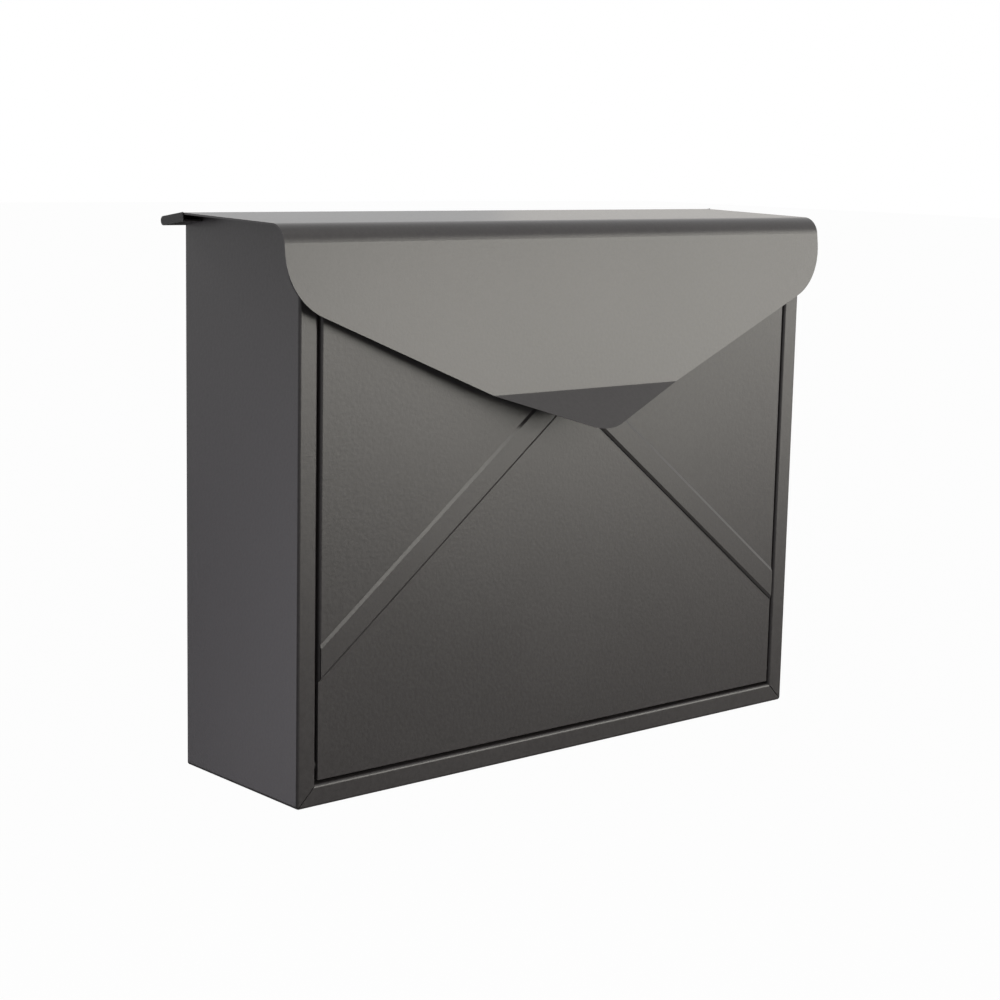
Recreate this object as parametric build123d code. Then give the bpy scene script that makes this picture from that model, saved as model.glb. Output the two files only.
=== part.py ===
"""Wall mounted mailbox in the shape of an envelope, in millimetres.

X runs across the box, the wall is the plane Y = 0 and the front faces -Y, Z is up.
The pieces are drawn with Z = 0 at the bottom of the box. They are written with the
centre of the wall screws as the origin.
"""

import os
from math import cos, radians, sin, tan

from build123d import *

# Sheet metal
SHEET = 1.0
BEND_R = 1.5  # outer radius of the folds on the front rails
INNER_BEND_R = 1.8  # outer radius of the folds into the lips
PAN_FIT = 0.1  # gap between a sheet piece and the one that it is welded into
SPACE = 0.3  # least gap between pieces that move past each other
RUN_FIT = 0.06  # radial clearance of a pin in the hole that turns on it
PIN_FIT = 0.02  # radial clearance of a pin in the hole that it is riveted into
OVER = 1.0  # how far a cut runs past the face that it opens
NEAR = 0.1  # how close an edge is to the place it is picked by

# Box
BODY_W = 380.0
BODY_D = 105.0
STANDOFF = 8.0  # from the wall to the back panel
CORNER_R = 2.0  # bends between the bottom and the sides
RAIL_W = 12.0  # front rails, folded from the sides and the bottom
RAIL_LIP = 12.0  # return lips behind the rails
MITRE_W = 0.5  # seam between the rails at the lower corners
MITRE_DEEP = 0.5
MITRE_L = 19.2
SIDE_FRONT_DROP = 10.7  # the sides' top edges at the front, below the ridge

# Lid, one sheet from the hem at the wall to the finger tip
LID_TOP = 308.8  # ridge, above the bottom of the box
LID_OVERHANG = 11.6  # past each side of the box
RIDGE_SETBACK = 14.0  # ridge, in front of the back panel
LIP_L = 20.2  # from the ridge back to the end of the hem
LIP_FALL = 8.5  # degrees
HEM_H = 5.0  # outer height of the hem that holds the rod
HEM_RUN = 22.0  # the hem's lower sheet
HEM_FLAT = 0.1  # left between the hem's two bends
RIDGE_R = 14.0
TOP_FALL = 1.4  # degrees, towards the front
FOLD_R = 11.0
FLAP_GAP = 2.85  # from the rails to the flap's outer face, at the height below
FLAP_GAP_DROP = 8.8  # that height, below the ridge
FLAP_LEAN = 7.0  # degrees outwards, going down
FLAP_APEX_DROP = 124.6  # where the flap's lower edges would meet without a crease, below the ridge
FLAP_SLOPE = 22.7  # degrees, each lower edge against the horizontal
FLAP_CORNER_R = 34.0
CREASE_DROP = 95.3  # below the ridge
CREASE_R = 1.5
TIP_LEAN = 40.0  # degrees outwards, going down
TIP_R = 38.0

# Lid hinge
ROD_R = 1.4
KNUCKLE_W = 40.0
KNUCKLE_X = (-120.0, 0.0, 120.0)
NOTCH_SIDE = 0.5  # each side of a knuckle
SLOT_SIDE = 0.6  # each side of a side panel that stands up into the hem
SLOT_BEFORE_ROD = 1.2  # where the slot for it ends
PLUG_CAP = 0.6
PLUG_DEEP = 4.0

# Back panel
PAN_LIP = 12.0
MOUNT_DX = 300.0
MOUNT_DZ = 190.0
MOUNT_Z = 150.0  # centre of the screws, above the bottom of the box
MOUNT_HOLE_R = 3.25
BOSS_BASE_R = 18.0
BOSS_TOP_R = 13.0
BOSS_SHEET = 0.6  # what the pressing leaves of the sheet

# Door, a pressed pan between the rails
DOOR_DROP = 46.8  # its top edge, below the lid's ridge
DOOR_GAP = 2.0  # over and under it
DOOR_SIDE_GAP = 1.6
DOOR_PROUD = 0.2  # its upper face, in front of the rails
DOOR_RETURN = 10.0
DOOR_BEND_R = 1.5
CHEVRON_FOOT = 67.5  # lower edge of the raised bands, at the door's sides
CHEVRON_DROP = 56.0  # lower edge of the raised bands at the middle, below the door's top edge
CHEVRON_H = 19.5
CHEVRON_RISE = 0.8
CHEVRON_UPPER_SLOPE = 2.2  # run of the bands' upper flanks
CHEVRON_LOWER_SLOPE = 2.0
FIELD_DEEP = 0.8  # the field under the bands, behind the door's upper face

# Door pivots
PIVOT_R = 2.0
PIVOT_UP = 8.0  # above the door's lower edge
PIVOT_HEAD_R = 3.4
PIVOT_HEAD = 1.2
WASHER_R = 3.6

# Header rail over the door
HEADER_H = 12.0
HEADER_FLANGE = 14.0
RIVET_R = 1.6
RIVET_HEAD_R = 3.2
RIVET_HEAD = 1.0
RIVET_BULB_R = 2.3
RIVET_BULB = 2.0
RIVET_FIT = 0.05

# Rubber stops behind the flap
BUMPER_R = 4.0
BUMPER_DROP = 20.8  # below the lid's ridge

# Cam lock at the top of the door, behind the flap
LOCK_DROP = 16.0  # its centre, below the door's top edge
LOCK_HEAD_R = 10.0
LOCK_HEAD = 3.0
LOCK_CHAMFER = 1.0
LOCK_SEAT = 1.0  # flat left around the head
BARREL_R = 8.0
BARREL_FIT = 0.1
PLUG_R = 6.0
PLUG_SINK = 0.4
KEYWAY = (2.0, 7.0)
KEYWAY_DEEP = 5.0
LOCK_WASHER_R = 10.5
LOCK_WASHER_T = 0.8
LOCK_NUT_FLATS = 20.0
LOCK_NUT_T = 3.0
CAM_T = 2.0
CAM_W = 12.0
CAM_EYE_R = 7.8
CAM_REACH = 24.0
CAM_CATCH = 0.5  # from the cam to the edges in front of it
TANG = 6.0
CAM_SCREW_R = 2.0
CAM_SCREW_DEEP = 4.0
CAM_SCREW_HEAD_R = 4.5
CAM_SCREW_HEAD = 2.2
CAM_SCREW_ROUND = 0.7

# Planes and lines that several pieces share
BACK_Y = -STANDOFF
FRONT_Y = BACK_Y - BODY_D
SIDE_X = BODY_W / 2
OPEN_X = SIDE_X - RAIL_W
LID_X = SIDE_X + LID_OVERHANG
FLAP_GAP_Z = LID_TOP - FLAP_GAP_DROP
FLAP_APEX_Z = LID_TOP - FLAP_APEX_DROP
CREASE_Z = LID_TOP - CREASE_DROP
BUMPER_Z = LID_TOP - BUMPER_DROP
DOOR_X = OPEN_X - DOOR_SIDE_GAP
DOOR_Y = FRONT_Y - DOOR_PROUD
DOOR_BOTTOM = RAIL_W + DOOR_GAP
DOOR_TOP = LID_TOP - DOOR_DROP
CHEVRON_APEX = DOOR_TOP - CHEVRON_DROP
DOOR_BACK = DOOR_Y + DOOR_RETURN
HEADER_Z = DOOR_TOP + DOOR_GAP
PIVOT_Y = DOOR_Y + FIELD_DEEP + SHEET + SPACE + PIVOT_HEAD_R
PIVOT_Z = DOOR_BOTTOM + PIVOT_UP
LOCK_Z = DOOR_TOP - LOCK_DROP
CAM_Y = DOOR_BACK + CAM_CATCH
BARREL_END = CAM_Y - SPACE


def flap_y(z):
    """Outer face of the flap at a height."""
    return FRONT_Y - FLAP_GAP - tan(radians(FLAP_LEAN)) * (FLAP_GAP_Z - z)


def top_z(y):
    """Outer face of the lid's top, in front of the ridge."""
    return LID_TOP - tan(radians(TOP_FALL)) * (BACK_Y - RIDGE_SETBACK - y)


# The hem, from the ridge down to its lower sheet, as points of the YZ plane
RIDGE = Vector(BACK_Y - RIDGE_SETBACK, LID_TOP)
LIP_DIR = Vector(cos(radians(LIP_FALL)), -sin(radians(LIP_FALL)))
LIP_DOWN = Vector(LIP_DIR.Y, -LIP_DIR.X)
HEM_R = (HEM_H - HEM_FLAT) / 2
HEM_TOP_END = RIDGE + LIP_DIR * LIP_L
HEM_LOW_END = HEM_TOP_END + LIP_DOWN * HEM_H
HEM_LOW_START = HEM_LOW_END - LIP_DIR * HEM_RUN
ROD = HEM_TOP_END + LIP_DOWN * (HEM_H / 2) - LIP_DIR * HEM_R
KNUCKLE_IN = ROD_R + RUN_FIT
KNUCKLE_OUT = KNUCKLE_IN + SHEET
BACK_TOP = ROD.Y - KNUCKLE_OUT - SHEET


def block(x, y, z):
    """A box between pairs of limits."""
    low = (min(x), min(y), min(z))
    size = [abs(b - a) for a, b in (x, y, z)]
    return Pos(*low) * Box(*size, align=(Align.MIN,) * 3)


def across(outline, x):
    """An outline of the YZ plane, extruded between two X limits."""
    return extrude(Plane.YZ.offset(min(x)) * make_face(outline), max(x) - min(x))


def along(outline, y):
    """An outline of the XZ plane, extruded between two Y limits."""
    return extrude(Plane.XZ.offset(-max(y)) * make_face(outline), max(y) - min(y))


def rod_x(radius, x, y, z):
    """A cylinder along X between two limits."""
    start = Plane((min(x), y, z), z_dir=(1, 0, 0))
    return start * Cylinder(radius, max(x) - min(x), align=(Align.CENTER, Align.CENTER, Align.MIN))


def rod_y(radius, x, y, z):
    """A cylinder along Y between two limits."""
    start = Plane((x, min(y), z), z_dir=(0, 1, 0))
    return start * Cylinder(radius, max(y) - min(y), align=(Align.CENTER, Align.CENTER, Align.MIN))


def both_sides(right):
    """A piece on the right, and its mirror image on the left."""
    return [right, mirror(right, Plane.YZ)]


def bent_sheet(points, radii):
    """Outline of a bent sheet. The points follow its outer face, with the metal on their left."""
    inner, inner_radii = [], []
    for i, point in enumerate(points):
        before = (point - points[i - 1]).normalized() if i else None
        after = (points[i + 1] - point).normalized() if i + 1 < len(points) else before
        before = before or after
        left = Vector(-before.Y, before.X) + Vector(-after.Y, after.X)
        inner.append(point + left * (SHEET / (1 + before.dot(after))))
        turns_left = before.cross(after).Z > 0
        change = -SHEET if turns_left else SHEET
        inner_radii.append(radii[i] + change if radii[i] else 0)
    return FilletPolyline(
        *points, *reversed(inner), radius=[*radii, *reversed(inner_radii)], close=True
    )


def body_wrap():
    """Left side, bottom and right side in one sheet, with mitred front rails and return lips."""
    high = LID_TOP
    corners = ((-SIDE_X, high), (-SIDE_X, 0), (SIDE_X, 0), (SIDE_X, high))
    outer = FilletPolyline(*corners, radius=[0, CORNER_R, CORNER_R, 0], close=True)
    inside = block(
        (-SIDE_X + SHEET, SIDE_X - SHEET), (FRONT_Y + SHEET, BACK_Y + OVER), (SHEET, high + OVER)
    )
    wrap = along(outer, (FRONT_Y, BACK_Y))
    folds = wrap.edges().filter_by_position(Axis.Y, FRONT_Y, FRONT_Y)
    folds = folds.filter_by(lambda edge: edge.center().Z < high - SHEET)
    wrap = fillet(folds, BEND_R) - inside
    # the opening, and the lips around it
    mouth = block((-OPEN_X, OPEN_X), (FRONT_Y - OVER, BACK_Y + OVER), (RAIL_W, high + OVER))
    lips = block(
        (-OPEN_X - SHEET, OPEN_X + SHEET),
        (FRONT_Y + SHEET / 2, FRONT_Y + RAIL_LIP),
        (RAIL_W - SHEET, high),
    )
    wrap = wrap + lips - mouth
    inner_folds = wrap.edges().filter_by_position(Axis.Y, FRONT_Y, FRONT_Y)
    inner_folds = inner_folds.filter_by(
        lambda edge: abs(abs(edge.center().X) - OPEN_X) < NEAR
        or abs(edge.center().Z - RAIL_W) < NEAR
    )
    wrap = fillet(inner_folds, INNER_BEND_R)
    for side in (-1, 1):
        seam = Rot(0, -45 * side, 0) * Box(MITRE_W, 2 * MITRE_DEEP, MITRE_L)
        wrap -= Pos(side * (SIDE_X - RAIL_W / 2), FRONT_Y, RAIL_W / 2) * seam
    # top edges: inside the hem at the wall, under the lid's top, then under its fold
    lid_under = SHEET + 2 * SPACE
    fold_back = flap_y(LID_TOP) + FOLD_R
    rear = BACK_Y + OVER
    top = (
        (rear, LID_TOP - tan(radians(LIP_FALL)) * (rear - RIDGE.X) - lid_under),
        (RIDGE.X, LID_TOP - lid_under - SPACE),
        (fold_back, top_z(fold_back) - lid_under - SPACE),
        (FRONT_Y + SHEET, LID_TOP - SIDE_FRONT_DROP),
        (FRONT_Y - OVER, LID_TOP - SIDE_FRONT_DROP),
        (FRONT_Y - OVER, high + OVER),
        (BACK_Y + OVER, high + OVER),
    )
    wrap -= across(Polyline(*top, close=True), (-SIDE_X - OVER, SIDE_X + OVER))
    for side in (-1, 1):
        lip = (side * (OPEN_X - OVER), side * (OPEN_X + SHEET + OVER))
        wrap -= rod_x(PIVOT_R + PIN_FIT, lip, PIVOT_Y, PIVOT_Z)
        wrap -= rod_x(RIVET_R + RIVET_FIT, lip, *rivet_place())
    return wrap


def boss(x, z):
    """A pressed boss that stands on the wall, its hollow and its screw hole."""
    out = Plane((x, BACK_Y, z), z_dir=(0, 1, 0))
    hollow = Plane((x, BACK_Y - SHEET, z), z_dir=(0, 1, 0))
    foot = (Align.CENTER, Align.CENTER, Align.MIN)
    shell = out * Cone(BOSS_BASE_R, BOSS_TOP_R, STANDOFF, align=foot)
    cavity = hollow * Cone(BOSS_BASE_R - BOSS_SHEET, BOSS_TOP_R - BOSS_SHEET, STANDOFF, align=foot)
    hole = rod_y(MOUNT_HOLE_R, x, (BACK_Y, OVER), z)
    return shell, cavity + hole


def back_panel():
    """Rear pan, with the wall bosses, and hinge knuckles rolled from its top edge."""
    half = SIDE_X - SHEET - PAN_FIT
    low = SHEET + PAN_FIT
    pan = block((-half, half), (BACK_Y - SHEET - PAN_LIP, BACK_Y), (low, BACK_TOP))
    inner = half - SHEET
    pan -= block(
        (-inner, inner), (BACK_Y - 2 * SHEET - PAN_LIP, BACK_Y - SHEET), (low + SHEET, BACK_TOP + OVER)
    )
    for x in (-MOUNT_DX / 2, MOUNT_DX / 2):
        for z in (MOUNT_Z - MOUNT_DZ / 2, MOUNT_Z + MOUNT_DZ / 2):
            shell, cavity = boss(x, z)
            pan = pan + shell - cavity
    for middle in KNUCKLE_X:
        x = (middle - KNUCKLE_W / 2, middle + KNUCKLE_W / 2)
        under = (ROD.Y - KNUCKLE_OUT, ROD.Y - KNUCKLE_IN)
        pan += block(x, (BACK_Y - SHEET, BACK_Y), (BACK_TOP - SHEET, max(under)))
        pan += block(x, (BACK_Y - SHEET, ROD.X), under)
        pan += rod_x(KNUCKLE_OUT, x, ROD.X, ROD.Y) - rod_x(KNUCKLE_IN, x, ROD.X, ROD.Y)
    return pan


def lid():
    """Top, front fold, flap, finger tip and rear hem, with notches for the knuckles."""
    slope, lean = tan(radians(TOP_FALL)), tan(radians(FLAP_LEAN))
    ridge_z = LID_TOP - slope * RIDGE.X
    fold_y = (FRONT_Y - FLAP_GAP - lean * (FLAP_GAP_Z - ridge_z)) / (1 - lean * slope)
    edge_drop = CREASE_Z - FLAP_APEX_Z
    tip_flat = edge_drop / cos(radians(FLAP_LEAN))
    tip_dir = Vector(-sin(radians(TIP_LEAN)), -cos(radians(TIP_LEAN)))
    crease = Vector(flap_y(CREASE_Z), CREASE_Z)
    points = [
        HEM_LOW_START,
        HEM_LOW_END,
        HEM_TOP_END,
        RIDGE,
        Vector(fold_y, top_z(fold_y)),
        crease,
        crease + tip_dir * (tip_flat + SHEET),
    ]
    section = bent_sheet(points, [0, HEM_R, HEM_R, RIDGE_R, FOLD_R, CREASE_R, 0])
    sheet = across(section, (-LID_X, LID_X))
    # the envelope's outline, seen from the front
    rise = tan(radians(FLAP_SLOPE))
    crease_x = edge_drop / rise
    corner_z = FLAP_APEX_Z + rise * LID_X
    tip_z = CREASE_Z - tip_flat * cos(radians(TIP_LEAN))
    high = LID_TOP + OVER
    right = [(crease_x, CREASE_Z), (LID_X, corner_z), (LID_X, high)]
    left = [(-x, z) for x, z in reversed(right)]
    outline = FilletPolyline(
        *left, (0, tip_z), *right,
        radius=[0, FLAP_CORNER_R, 0, TIP_R, 0, FLAP_CORNER_R, 0],
        close=True,
    )
    sheet &= along(outline, (flap_y(FLAP_APEX_Z) - LID_TOP, 0))
    for middle in KNUCKLE_X:
        reach = KNUCKLE_W / 2 + NOTCH_SIDE
        notch = (BACK_Y - SHEET - 2 * NOTCH_SIDE, OVER)
        sheet -= block((middle - reach, middle + reach), notch, (BACK_TOP, high))
    # slots in the hem's lower sheet, for the sides' rear corners
    front = HEM_LOW_START - LIP_DIR * OVER
    rear = ROD + LIP_DOWN * (HEM_H / 2) - LIP_DIR * SLOT_BEFORE_ROD
    low, high = LIP_DOWN * OVER, LIP_DOWN * (SHEET + SPACE)
    slot = Polyline(front + low, rear + low, rear - high, front - high, close=True)
    x = (SIDE_X - SHEET - SLOT_SIDE, SIDE_X + SLOT_SIDE)
    for cut in both_sides(across(slot, x)):
        sheet -= cut
    return sheet


def hinge_rod():
    """Steel rod in the lid's hem, through the knuckles."""
    half = LID_X - PLUG_DEEP - SPACE
    return rod_x(ROD_R, (-half, half), ROD.X, ROD.Y)


def hem_plugs():
    """Black end plugs: a cap over the hem's end, and a tongue between its two sheets."""
    start_top = HEM_LOW_START - LIP_DOWN * HEM_H
    cap = FilletPolyline(
        HEM_LOW_START, HEM_LOW_END, HEM_TOP_END, start_top,
        radius=[0, HEM_R, HEM_R, 0], close=True,
    )
    wall = SHEET + PAN_FIT
    lift, back = LIP_DOWN * wall, LIP_DIR * wall
    clear = LIP_DIR * PLUG_DEEP  # the ridge's bend begins here
    tongue = FilletPolyline(
        HEM_LOW_START - lift + clear, HEM_LOW_END - lift - back,
        HEM_TOP_END + lift - back, start_top + lift + clear,
        radius=[0, HEM_R - wall, HEM_R - wall, 0], close=True,
    )
    plug = across(cap, (LID_X, LID_X + PLUG_CAP)) + across(tongue, (LID_X - PLUG_DEEP, LID_X))
    return both_sides(plug)


def rivet_place():
    """Y and Z of the rivets at the header's ends."""
    return FRONT_Y + (RAIL_LIP + SHEET) / 2, HEADER_Z + HEADER_H / 2


def header_rail():
    """Channel across the top of the door's opening, with a tab at each end."""
    half = OPEN_X - PAN_FIT
    z = (HEADER_Z, HEADER_Z + HEADER_H)
    ends = (-half, half)
    rail = block(ends, (FRONT_Y, FRONT_Y + HEADER_FLANGE), z)
    hollow = (FRONT_Y + SHEET, FRONT_Y + HEADER_FLANGE + OVER)
    rail -= block((-half - OVER, half + OVER), hollow, (min(z) + SHEET, max(z) - SHEET))
    # the lower flange ends in front of the cam
    behind = (CAM_Y - CAM_CATCH, max(hollow))
    rail -= block((-half - OVER, half + OVER), behind, (min(z) - OVER, max(z) - SHEET))
    for tab in both_sides(block((half - SHEET, half), (FRONT_Y, FRONT_Y + RAIL_LIP), z)):
        rail += tab
    front = rail.edges().filter_by(Axis.X).filter_by_position(Axis.Y, FRONT_Y, FRONT_Y)
    rail = fillet(front, INNER_BEND_R)
    for side in (-1, 1):
        tab_x = (side * (half + OVER), side * (half - SHEET - OVER))
        rail -= rod_x(RIVET_R + RIVET_FIT, tab_x, *rivet_place())
    return rail


def header_rivets():
    """Blind rivets that hold the header's tabs to the rails' lips."""
    tab = OPEN_X - PAN_FIT - SHEET
    lip = OPEN_X + SHEET
    place = rivet_place()
    rivet = rod_x(RIVET_R, (tab - RIVET_HEAD / 2, lip + RIVET_BULB / 2), *place)
    rivet += rod_x(RIVET_HEAD_R, (tab - RIVET_HEAD, tab), *place)
    rivet += rod_x(RIVET_BULB_R, (lip, lip + RIVET_BULB), *place)
    return both_sides(rivet)


def flap_bumpers():
    """Rubber stops on the rails, which the closed flap rests against."""
    inner = flap_y(BUMPER_Z + BUMPER_R) + SHEET / cos(radians(FLAP_LEAN))
    return both_sides(rod_y(BUMPER_R, SIDE_X - RAIL_W / 2, (inner + SPACE, FRONT_Y), BUMPER_Z))


def door_panel():
    """Pressed pan with a raised chevron, a recessed field under it and folded edges."""
    x, z = (-DOOR_X, DOOR_X), (DOOR_BOTTOM, DOOR_TOP)
    pan = block(x, (DOOR_Y, DOOR_BACK), z)
    pan = fillet(pan.edges().filter_by_position(Axis.Y, DOOR_Y, DOOR_Y), DOOR_BEND_R)
    wide = DOOR_X + OVER
    steep = (CHEVRON_APEX - CHEVRON_FOOT) / DOOR_X

    def under(rise):
        """Outline of everything below the chevron's lower edge, moved up."""
        foot, peak = CHEVRON_APEX - steep * wide + rise, CHEVRON_APEX + rise
        return Polyline((-wide, 0), (wide, 0), (wide, foot), (0, peak), (-wide, foot), close=True)

    pan -= along(under(0), (DOOR_Y - OVER, DOOR_Y + FIELD_DEEP))
    inside = block(
        (-DOOR_X + SHEET, DOOR_X - SHEET),
        (DOOR_Y + SHEET, DOOR_BACK + OVER),
        (DOOR_BOTTOM + SHEET, DOOR_TOP - SHEET),
    )
    pan -= inside - along(under(2 * SHEET), (DOOR_Y, DOOR_Y + FIELD_DEEP + SHEET))
    # the raised bands end where the door's folded edges begin
    end = DOOR_X - DOOR_BEND_R / 2

    def bands(y, up, down):
        """Outline of the two bands on a plane of the door, with its edges moved up and down."""
        low, high = CHEVRON_APEX + up, CHEVRON_APEX + CHEVRON_H - down
        fall = steep * end
        corners = (
            (-end, low - fall), (0, low), (end, low - fall),
            (end, high - fall), (0, high), (-end, high - fall),
        )
        return Plane.XZ.offset(-y) * make_face(Polyline(*corners, close=True))

    foot = bands(DOOR_Y, 0, 0)
    crest = bands(DOOR_Y - CHEVRON_RISE, CHEVRON_LOWER_SLOPE, CHEVRON_UPPER_SLOPE)
    ridge = loft([foot, crest], ruled=True) + extrude(foot, -SHEET)
    seat = rod_y(LOCK_HEAD_R + LOCK_SEAT, 0, (DOOR_Y - CHEVRON_RISE, DOOR_Y), LOCK_Z)
    pan += ridge - seat
    pan -= rod_y(BARREL_R + BARREL_FIT, 0, (DOOR_Y - OVER, DOOR_BACK), LOCK_Z)
    pan -= rod_x(PIVOT_R + RUN_FIT, (-DOOR_X - OVER, DOOR_X + OVER), PIVOT_Y, PIVOT_Z)
    return pan


def door_pivot_pins():
    """Riveted pins: a head behind the rail's lip, and an upset end inside the door."""
    inner = DOOR_X - SHEET - SPACE
    outer = OPEN_X + SHEET
    place = PIVOT_Y, PIVOT_Z
    pin = rod_x(PIVOT_R, (inner - PIVOT_HEAD / 2, outer + PIVOT_HEAD / 2), *place)
    pin += rod_x(PIVOT_HEAD_R, (outer, outer + PIVOT_HEAD), *place)
    pin += rod_x(PIVOT_HEAD_R, (inner - PIVOT_HEAD, inner), *place)
    return both_sides(pin)


def door_pivot_washers():
    """Nylon washers between the rails' lips and the door."""
    x = (DOOR_X + SPACE, OPEN_X)
    place = PIVOT_Y, PIVOT_Z
    return both_sides(rod_x(WASHER_R, x, *place) - rod_x(PIVOT_R + RUN_FIT, x, *place))


def lock_housing():
    """Head on the door's face and barrel through it, with the plug's bore."""
    front = DOOR_Y - LOCK_HEAD
    head = rod_y(LOCK_HEAD_R, 0, (front, DOOR_Y), LOCK_Z)
    rim = head.edges().filter_by(GeomType.CIRCLE).sort_by(Axis.Y)[0]
    head = chamfer(rim, LOCK_CHAMFER)
    barrel = rod_y(BARREL_R, 0, (DOOR_Y - LOCK_HEAD / 2, BARREL_END), LOCK_Z)
    return head + barrel - rod_y(PLUG_R + RUN_FIT, 0, (front - OVER, BARREL_END + OVER), LOCK_Z)


def lock_washer():
    """Washer between the door and the lock's nut."""
    y = (DOOR_Y + SHEET, DOOR_Y + SHEET + LOCK_WASHER_T)
    return rod_y(LOCK_WASHER_R, 0, y, LOCK_Z) - rod_y(BARREL_R + BARREL_FIT, 0, y, LOCK_Z)


def lock_nut():
    """Hexagon nut on the barrel."""
    start = DOOR_Y + SHEET + LOCK_WASHER_T
    face = Plane((0, start, LOCK_Z), z_dir=(0, 1, 0))
    hexagon = RegularPolygon(LOCK_NUT_FLATS / 2, 6, major_radius=False)
    y = (start - OVER, start + LOCK_NUT_T + OVER)
    return extrude(face * hexagon, LOCK_NUT_T) - rod_y(BARREL_R + BARREL_FIT, 0, y, LOCK_Z)


def lock_plug():
    """Turning core with its keyway, and the square tang that carries the cam."""
    front = DOOR_Y - LOCK_HEAD + PLUG_SINK
    plug = rod_y(PLUG_R, 0, (front, BARREL_END), LOCK_Z)
    tang_end = CAM_Y + CAM_T - PAN_FIT
    half = TANG / 2
    plug += block((-half, half), (BARREL_END - OVER, tang_end), (LOCK_Z - half, LOCK_Z + half))
    wide, high = (size / 2 for size in KEYWAY)
    plug -= block((-wide, wide), (front - OVER, front + KEYWAY_DEEP), (LOCK_Z - high, LOCK_Z + high))
    return plug - rod_y(CAM_SCREW_R, 0, (tang_end - CAM_SCREW_DEEP, tang_end + OVER), LOCK_Z)


def lock_cam():
    """Flat lever on the tang. It points aside when open, and up behind the header when locked."""
    y = (CAM_Y, CAM_Y + CAM_T)
    half = CAM_W / 2
    arm = block((0, CAM_REACH - half), y, (LOCK_Z - half, LOCK_Z + half))
    cam = arm + rod_y(half, CAM_REACH - half, y, LOCK_Z) + rod_y(CAM_EYE_R, 0, y, LOCK_Z)
    hole = TANG / 2 + PAN_FIT
    through = (CAM_Y - OVER, CAM_Y + CAM_T + OVER)
    return cam - block((-hole, hole), through, (LOCK_Z - hole, LOCK_Z + hole))


def cam_screw():
    """Screw that holds the cam on the tang."""
    seat = CAM_Y + CAM_T
    thread_end = seat - PAN_FIT - CAM_SCREW_DEEP
    head = rod_y(CAM_SCREW_HEAD_R, 0, (seat, seat + CAM_SCREW_HEAD), LOCK_Z)
    rim = head.edges().filter_by(GeomType.CIRCLE).sort_by(Axis.Y)[-1]
    head = fillet(rim, CAM_SCREW_ROUND)
    return head + rod_y(CAM_SCREW_R, 0, (thread_end, seat + CAM_SCREW_HEAD / 2), LOCK_Z)


PIECES = (
    body_wrap, back_panel, header_rail, header_rivets, flap_bumpers,
    door_pivot_pins, door_pivot_washers,
    door_panel, lock_housing, lock_washer, lock_nut,
    lock_plug, lock_cam, cam_screw,
    lid, hinge_rod, hem_plugs,
)

os.makedirs("parts", exist_ok=True)
for piece in PIECES:
    made = piece()
    solids = made if isinstance(made, list) else [made]
    placed = [Pos(0, 0, -MOUNT_Z) * solid for solid in solids]
    whole = placed[0] if len(placed) == 1 else Compound(placed)
    export_step(whole, f"parts/{piece.__name__}.step")
print(f"rod at Y {ROD.X:.3f} Z {ROD.Y - MOUNT_Z:.3f}")
print(f"door pivot at Y {PIVOT_Y:.3f} Z {PIVOT_Z - MOUNT_Z:.3f}")
print(f"lock at Z {LOCK_Z - MOUNT_Z:.3f}")
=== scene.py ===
"""Looks of an envelope-shaped wall mailbox in powder-coated sheet steel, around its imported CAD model."""

import bpy
from mathutils import Matrix, Vector

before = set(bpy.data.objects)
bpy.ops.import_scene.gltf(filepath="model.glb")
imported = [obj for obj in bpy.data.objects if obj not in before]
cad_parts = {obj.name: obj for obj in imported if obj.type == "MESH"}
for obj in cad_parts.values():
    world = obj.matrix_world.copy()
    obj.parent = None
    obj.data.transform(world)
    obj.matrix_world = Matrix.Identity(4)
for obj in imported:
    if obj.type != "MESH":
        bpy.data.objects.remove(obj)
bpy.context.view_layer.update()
scene = bpy.context.scene
scene.view_settings.view_transform = "Standard"
MM = 0.001

# Camera: fitted to the box's straight edges in the photograph
CAMERA_AT = Vector((-817.8, -987.3, 199.6)) * MM
CAMERA_RIGHT = Vector((0.75475, -0.65567, 0.02113))
CAMERA_AHEAD = Vector((0.64929, 0.74200, -0.16691))
CAMERA_LENS = 76.32
CAMERA_SENSOR = 36.0

# Patterns in the finishes: width of one crest or cloud as drawn, and height of the crests
PEEL = 2.0 * MM  # peel of the cured powder, really about 0.5 mm: coarser so that it shows
PEEL_HEIGHT = 0.11 * MM
FILM = 71.4 * MM  # slow change in the coat's thickness
CLOUD = 3.85 * MM  # clouds that passivation leaves on zinc
HAZE = 5.56 * MM  # marks of handling on chrome
GRAIN = 1.43 * MM  # grain of a mould or an oxide, really about 0.1 mm: coarser so that it shows
GRAIN_HEIGHT = 0.04 * MM


def srgb(code):
    """A colour written as sRGB hex, as the linear values that a shader takes."""
    shares = [int(code[i:i + 2], 16) / 255 for i in (0, 2, 4)]
    return [c / 12.92 if c <= 0.04045 else ((c + 0.055) / 1.055) ** 2.4 for c in shares] + [1.0]


def node(tree, kind, settings=None, **links):
    """Adds a node. Settings fill its own fields and sockets, links join its sockets to others' outputs.

    A socket is named with _ for a space, or by its place, as _0 or _1, where names repeat.
    """
    made = tree.nodes.new(kind)
    for name, value in (settings or {}).items():
        if name in made.inputs:
            made.inputs[name].default_value = value
        else:
            setattr(made, name, value)
    for name, source in links.items():
        by_place = name[1:].isdigit()
        socket = made.inputs[int(name[1:])] if by_place else made.inputs[name.replace("_", " ")]
        tree.links.new(source, socket)
    return made


def material(name):
    """A new node material, its tree and its shader."""
    made = bpy.data.materials.new(name)
    made.use_nodes = True
    shader = made.node_tree.nodes["Principled BSDF"]
    return made, made.node_tree, shader


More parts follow.
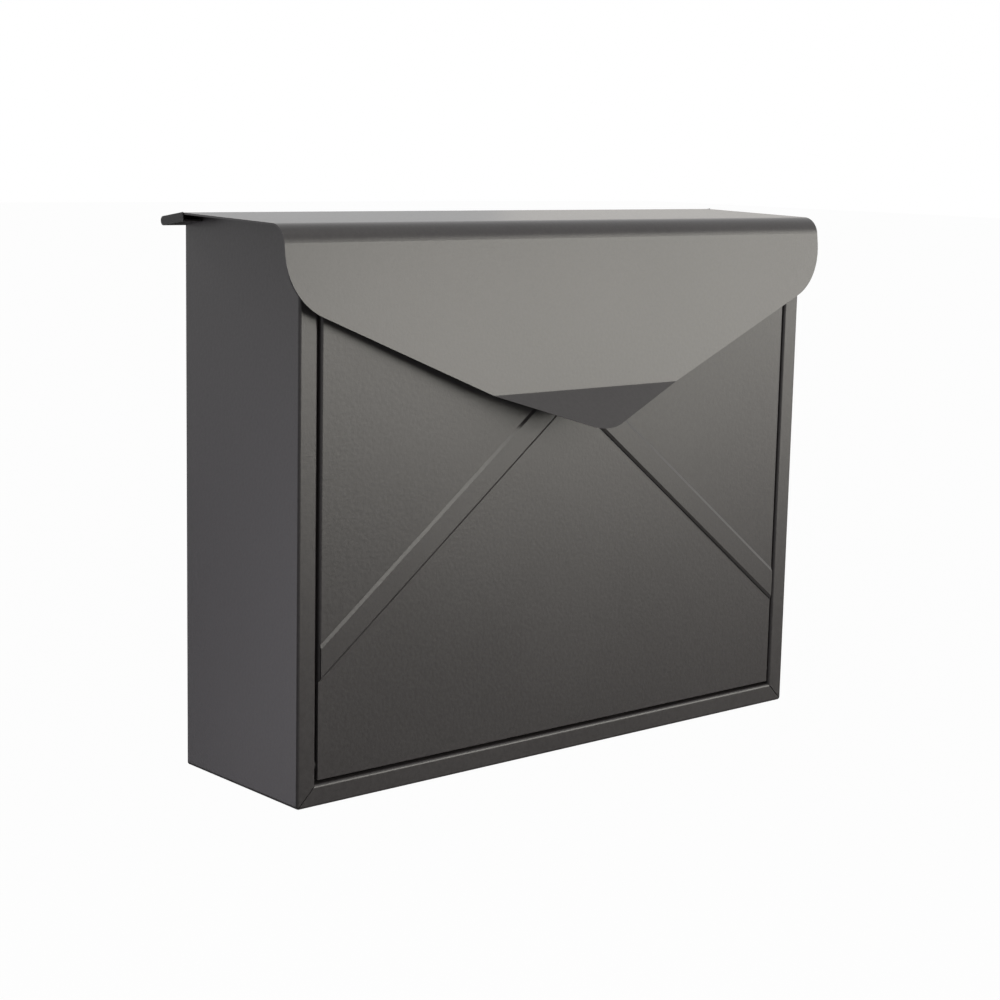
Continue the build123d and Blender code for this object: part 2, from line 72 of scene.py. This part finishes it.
def powder_coat():
    """Polyester powder coat on steel: warm dark grey, satin, with the fine peel of cured powder."""
    made, tree, shader = material("satin_powder_coat")
    place = node(tree, "ShaderNodeTexCoord").outputs["Object"]
    peel = node(tree, "ShaderNodeTexNoise", {"Scale": 1 / PEEL, "Detail": 2.0, "Roughness": 0.55},
                Vector=place)
    film = node(tree, "ShaderNodeTexNoise", {"Scale": 1 / FILM, "Detail": 1.0, "Roughness": 0.4},
                Vector=place)
    both = node(tree, "ShaderNodeMix", {"data_type": "FLOAT", "Factor": 0.35},
                _2=peel.outputs["Fac"], _3=film.outputs["Fac"])
    tone = node(tree, "ShaderNodeValToRGB", Fac=both.outputs[0])
    dark, light = tone.color_ramp.elements
    dark.position = 0.3
    dark.color = srgb("2d2b2c")
    light.position = 0.7
    light.color = srgb("353334")
    tree.links.new(tone.outputs["Color"], shader.inputs["Base Color"])
    shine = node(tree, "ShaderNodeMapRange", {"To Min": 0.28, "To Max": 0.35}, Value=peel.outputs["Fac"])
    tree.links.new(shine.outputs["Result"], shader.inputs["Roughness"])
    bump = node(tree, "ShaderNodeBump", {"Strength": 0.5, "Distance": PEEL_HEIGHT},
                Height=peel.outputs["Fac"])
    tree.links.new(bump.outputs["Normal"], shader.inputs["Normal"])
    shader.inputs["Specular IOR Level"].default_value = 0.35
    return made


def zinc():
    """Zinc plated steel: pale, faintly blue and clouded, with a soft metal shine."""
    made, tree, shader = material("zinc_plated_steel")
    place = node(tree, "ShaderNodeTexCoord").outputs["Object"]
    cloud = node(tree, "ShaderNodeTexNoise", {"Scale": 1 / CLOUD, "Detail": 3.0}, Vector=place)
    tone = node(tree, "ShaderNodeValToRGB", Fac=cloud.outputs["Fac"])
    dark, light = tone.color_ramp.elements
    dark.position = 0.35
    dark.color = srgb("aeb0b2")
    light.position = 0.65
    light.color = srgb("c6c8ca")
    tree.links.new(tone.outputs["Color"], shader.inputs["Base Color"])
    shine = node(tree, "ShaderNodeMapRange", {"To Min": 0.28, "To Max": 0.42}, Value=cloud.outputs["Fac"])
    tree.links.new(shine.outputs["Result"], shader.inputs["Roughness"])
    shader.inputs["Metallic"].default_value = 1.0
    return made


def chrome():
    """Bright chrome on die-cast zinc: a mirror with faint handling haze."""
    made, tree, shader = material("bright_chrome")
    place = node(tree, "ShaderNodeTexCoord").outputs["Object"]
    haze = node(tree, "ShaderNodeTexNoise", {"Scale": 1 / HAZE, "Detail": 2.0}, Vector=place)
    shine = node(tree, "ShaderNodeMapRange", {"To Min": 0.06, "To Max": 0.14}, Value=haze.outputs["Fac"])
    tree.links.new(shine.outputs["Result"], shader.inputs["Roughness"])
    shader.inputs["Base Color"].default_value = srgb("d4d5d6")
    shader.inputs["Metallic"].default_value = 1.0
    return made


def dull_black(name, low, high, roughness):
    """Black skin of moulded nylon or rubber, or of oxide on steel: dull, with a fine grain."""
    made, tree, shader = material(name)
    place = node(tree, "ShaderNodeTexCoord").outputs["Object"]
    grain = node(tree, "ShaderNodeTexNoise", {"Scale": 1 / GRAIN, "Detail": 1.0}, Vector=place)
    tone = node(tree, "ShaderNodeValToRGB", Fac=grain.outputs["Fac"])
    dark, light = tone.color_ramp.elements
    dark.color = srgb(low)
    light.color = srgb(high)
    tree.links.new(tone.outputs["Color"], shader.inputs["Base Color"])
    bump = node(tree, "ShaderNodeBump", {"Strength": 0.2, "Distance": GRAIN_HEIGHT},
                Height=grain.outputs["Fac"])
    tree.links.new(bump.outputs["Normal"], shader.inputs["Normal"])
    shader.inputs["Roughness"].default_value = roughness
    return made


COAT = powder_coat()
ZINC = zinc()
CHROME = chrome()
PLASTIC = dull_black("black_nylon", "141415", "1d1d1e", roughness=0.7)
RUBBER = dull_black("black_rubber", "121212", "1a1a1a", roughness=0.75)
BLACK_STEEL = dull_black("black_oxide_steel", "101011", "19191a", roughness=0.4)

FINISH = {
    "body_wrap": COAT, "back_panel": COAT, "header_rail": COAT, "door_panel": COAT, "lid": COAT,
    "header_rivets": ZINC, "door_pivot_pins": BLACK_STEEL, "hinge_rod": ZINC,
    "lock_washer": ZINC, "lock_nut": ZINC, "lock_cam": ZINC, "cam_screw": ZINC,
    "lock_housing": CHROME, "lock_plug": CHROME,
    "door_pivot_washers": PLASTIC, "hem_plugs": PLASTIC, "flap_bumpers": RUBBER,
}
for name, finish in FINISH.items():
    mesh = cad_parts[name].data
    mesh.materials.clear()
    mesh.materials.append(finish)

# Studio, in metres and watts
WHITE = (1.0, 1.0, 1.0, 1.0)
WARM = "fffcf2"
LAMPS_FACE = Vector((0.0, -0.1, 0.05))
# Soft boxes: name, place, width and height, power, colour
LAMPS = (
    ("front_box", (1.28, -1.49, 0.31), (1.3, 0.55), 15.8, WARM),
    ("front_edge", (0.88, -1.77, 0.31), (0.7, 0.5), 2.3, WARM),
    ("front_upper", (1.23, -1.42, 0.67), (1.3, 0.3), 2.5, WARM),
    ("low_left_card", (0.95, -1.75, -0.11), (0.7, 0.3), 3.2, WARM),
    ("low_middle_card", (1.24, -1.52, -0.30), (0.4, 0.2), 0.9, WARM),
    ("low_right_card", (1.49, -1.28, -0.11), (0.7, 0.3), 2.0, WARM),
    ("high_left_card", (0.20, -1.82, 0.82), (0.35, 0.35), 7.0, WARM),
    ("right_card", (1.80, -0.63, 0.35), (0.4, 0.4), 0.6, WARM),
    ("top_box", (0.32, -1.00, 1.70), (0.9, 0.6), 4.0, WARM),
    ("left_card", (-1.42, 1.00, -0.54), (0.9, 0.9), 5.8, "f6f2fa"),
    ("back_card", (1.54, 0.97, 0.35), (1.0, 0.5), 0.6, "fff0d8"),
    ("rear_box", (-0.31, 1.66, 1.31), (1.2, 0.8), 40.0, "ffffff"),
)
# Fill on dull surfaces, by height: sine of the angle over the horizon, level
FILL = ((-0.5, 0.35), (0.0, 0.5), (1.0, 0.45))
FLOOR_Z = -1.3  # such a box hangs at about chest height
FLOOR_WHITE = 0.97  # share of plain white in what the camera and mirrors see of the floor
FLOOR_HALF = 40.0
FLAG_Z = -0.8
FLAG_HALF = 6.0


def soft_box(name, at, size, power, colour):
    """A rectangular soft box that the camera doesn't see."""
    data = bpy.data.lights.new(name, "AREA")
    data.shape = "RECTANGLE"
    data.size, data.size_y = size
    data.energy = power
    data.color = srgb(colour)[:3]
    lamp = bpy.data.objects.new(name, data)
    scene.collection.objects.link(lamp)
    lamp.location = at
    lamp.rotation_euler = (LAMPS_FACE - Vector(at)).to_track_quat("-Z", "Y").to_euler()
    lamp.visible_camera = False


def shown_white(tree):
    """1 for a ray of the camera, or one by way of a mirror or a glass, which sees the white background."""
    rays = node(tree, "ShaderNodeLightPath").outputs
    mirrored = node(tree, "ShaderNodeMath", {"operation": "MAXIMUM"},
                    _0=rays["Is Glossy Ray"], _1=rays["Is Transmission Ray"])
    return node(tree, "ShaderNodeMath", {"operation": "MAXIMUM"},
                _0=rays["Is Camera Ray"], _1=mirrored.outputs[0]).outputs[0]


def surroundings():
    """White where it is seen, and on dull surfaces a fill that is dimmer above and below."""
    world = bpy.data.worlds.new("studio")
    world.use_nodes = True
    tree = world.node_tree
    tree.nodes.clear()
    way = node(tree, "ShaderNodeTexCoord").outputs["Generated"]
    height = node(tree, "ShaderNodeSeparateXYZ", Vector=way).outputs["Z"]
    share = node(tree, "ShaderNodeMapRange", {"From Min": -1.0, "From Max": 1.0}, Value=height)
    ramp = node(tree, "ShaderNodeValToRGB", Fac=share.outputs["Result"])
    stops = ramp.color_ramp.elements
    while len(stops) < len(FILL):
        stops.new(0.5)
    for stop, (sine, level) in zip(stops, FILL):
        stop.position = (sine + 1) / 2
        stop.color = (level, level, level, 1.0)
    shown = node(tree, "ShaderNodeMixRGB", {"Color2": WHITE},
                 Fac=shown_white(tree), Color1=ramp.outputs["Color"])
    back = node(tree, "ShaderNodeBackground", Color=shown.outputs["Color"])
    node(tree, "ShaderNodeOutputWorld", Surface=back.outputs["Background"])
    scene.world = world


def level_sheet(name, height, half, finish):
    """A square sheet of the studio, level and centred under the box."""
    mesh = bpy.data.meshes.new(name)
    corners = [(-half, -half), (half, -half), (half, half), (-half, half)]
    mesh.from_pydata([(x, y, height) for x, y in corners], [], [(0, 1, 2, 3)])
    mesh.materials.append(finish)
    sheet = bpy.data.objects.new(name, mesh)
    scene.collection.objects.link(sheet)
    return sheet


def floor():
    """Pale painted floor, far below the box."""
    paint, tree, shader = material("pale_floor_paint")
    shader.inputs["Base Color"].default_value = srgb("dcdcdb")
    shader.inputs["Roughness"].default_value = 0.9
    share = node(tree, "ShaderNodeMath", {"operation": "MULTIPLY"}, _0=shown_white(tree))
    share.inputs[1].default_value = FLOOR_WHITE
    white = node(tree, "ShaderNodeEmission", {"Color": WHITE})
    mix = node(tree, "ShaderNodeMixShader", Fac=share.outputs[0],
               _1=shader.outputs["BSDF"], _2=white.outputs["Emission"])
    tree.links.new(mix.outputs["Shader"], tree.nodes["Material Output"].inputs["Surface"])
    level_sheet("floor", FLOOR_Z, FLOOR_HALF, paint)


def flag():
    """Black cloth under the box, unseen by the camera: satin faces mirror it, so their lower parts darken."""
    cloth, _, shader = material("black_molton")
    shader.inputs["Base Color"].default_value = srgb("202020")
    shader.inputs["Roughness"].default_value = 1.0
    sheet = level_sheet("flag", FLAG_Z, FLAG_HALF, cloth)
    sheet.visible_camera = False
    sheet.visible_diffuse = False
    sheet.visible_shadow = False


def camera():
    """Puts the camera where the photograph was taken from."""
    data = bpy.data.cameras.new("camera")
    data.lens = CAMERA_LENS
    data.sensor_width = CAMERA_SENSOR
    seen = bpy.data.objects.new("camera", data)
    scene.collection.objects.link(seen)
    up = CAMERA_RIGHT.cross(CAMERA_AHEAD)
    turn = Matrix((CAMERA_RIGHT, up, -CAMERA_AHEAD)).transposed()
    seen.matrix_world = Matrix.Translation(CAMERA_AT) @ turn.to_4x4()
    scene.camera = seen


surroundings()
floor()
flag()
for lamp in LAMPS:
    soft_box(*lamp)
camera()
